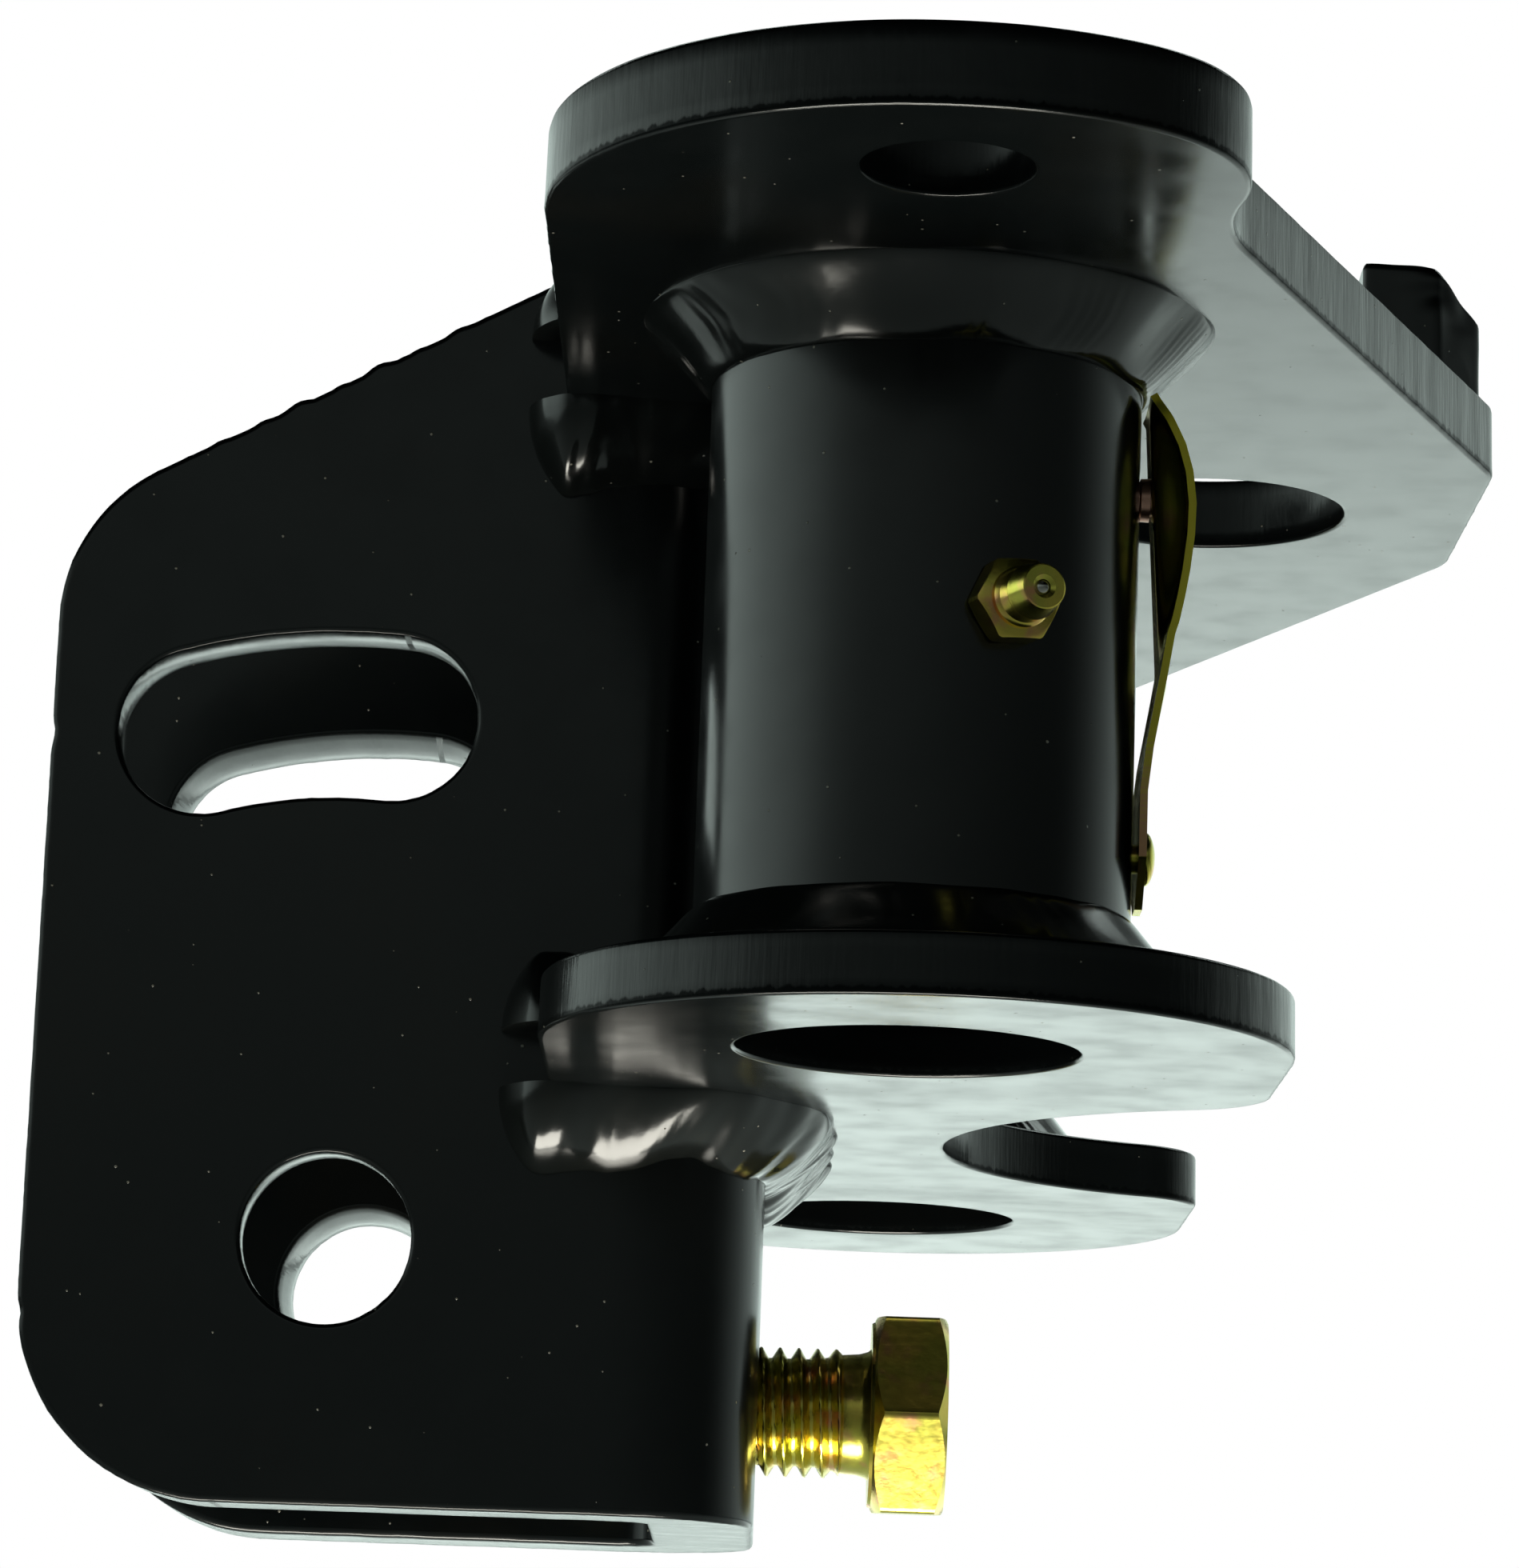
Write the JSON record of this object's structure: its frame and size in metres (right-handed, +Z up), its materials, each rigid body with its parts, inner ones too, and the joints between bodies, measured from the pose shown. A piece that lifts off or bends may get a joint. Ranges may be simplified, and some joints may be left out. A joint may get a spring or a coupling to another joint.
{
  "type": "weight distribution hitch head",
  "caption": "Adjustable ball mount head that bolts to a square shank, with a ball plate, side plate holes and sockets for round spring bars.",
  "frame": {"origin": "centre of the lower pivot bolt hole, midway between the bracket's cheeks", "axes": "+X back towards the trailer, +Y to the vehicle's right along the pivot bolt, +Z up along the ball hole"},
  "size_m": [0.173, 0.3176, 0.1607],
  "materials": {
    "black_paint": "semi-gloss",
    "painted_weld": "semi-gloss",
    "yellow_zinc": "satin",
    "zinc_strip": "satin",
    "copper_pin": "satin",
    "bare_steel": "polished"
  },
  "bodies": {
    "hitch_head": {"channel_bracket": "black_paint", "ball_plate": "black_paint", "socket_plate": "black_paint", "left_socket_tube": "black_paint", "right_socket_tube": "black_paint", "left_upper_ring_weld": "painted_weld", "left_lower_ring_weld": "painted_weld", "right_upper_ring_weld": "painted_weld", "right_lower_ring_weld": "painted_weld", "ball_plate_lower_weld": "painted_weld", "ball_plate_upper_weld": "painted_weld", "socket_plate_lower_weld": "painted_weld", "socket_plate_upper_weld": "painted_weld", "stop_lug": "black_paint", "stop_lug_weld": "painted_weld", "left_fitting_body": "yellow_zinc", "left_fitting_spring": "bare_steel", "right_fitting_body": "yellow_zinc", "right_fitting_spring": "bare_steel", "left_clip_foot": "zinc_strip", "left_clip_rivet": "yellow_zinc", "right_clip_foot": "zinc_strip", "right_clip_rivet": "yellow_zinc"},
    "tilt_bolt": {"adjusting_bolt": "yellow_zinc"},
    "left_check": {"left_fitting_ball": "bare_steel"},
    "right_check": {"right_fitting_ball": "bare_steel"},
    "left_clip": {"left_clip_leaf": "zinc_strip", "left_lock_pin": "copper_pin"},
    "right_clip": {"right_clip_leaf": "zinc_strip", "right_lock_pin": "copper_pin"}
  },
  "joints": [
    {"name": "tilt_bolt_travel", "type": "slide", "parent": "hitch_head", "child": "tilt_bolt", "axis": [1, 0, 0], "range_m": [-0.0134, 0.014]},
    {"name": "left_clip_flex", "type": "hinge", "parent": "hitch_head", "child": "left_clip", "pos_m": [0.09165, -0.0786, 0.047], "axis": [0, 1, 0], "range_deg": [0, 10], "stiffness_Nm_per_rad": 4},
    {"name": "right_clip_flex", "type": "hinge", "parent": "hitch_head", "child": "right_clip", "pos_m": [0.09165, 0.0786, 0.047], "axis": [0, 1, 0], "range_deg": [0, 10], "stiffness_Nm_per_rad": 4},
    {"name": "left_check_press", "type": "slide", "parent": "hitch_head", "child": "left_check", "axis": [-0.3665, 0.9304, 0], "range_m": [0, 0.0008], "stiffness_N_per_m": 200, "deforming": ["left_fitting_spring"]},
    {"name": "right_check_press", "type": "slide", "parent": "hitch_head", "child": "right_check", "axis": [-0.3665, -0.9304, 0], "range_m": [0, 0.0008], "stiffness_N_per_m": 200, "deforming": ["right_fitting_spring"]}
  ]
}
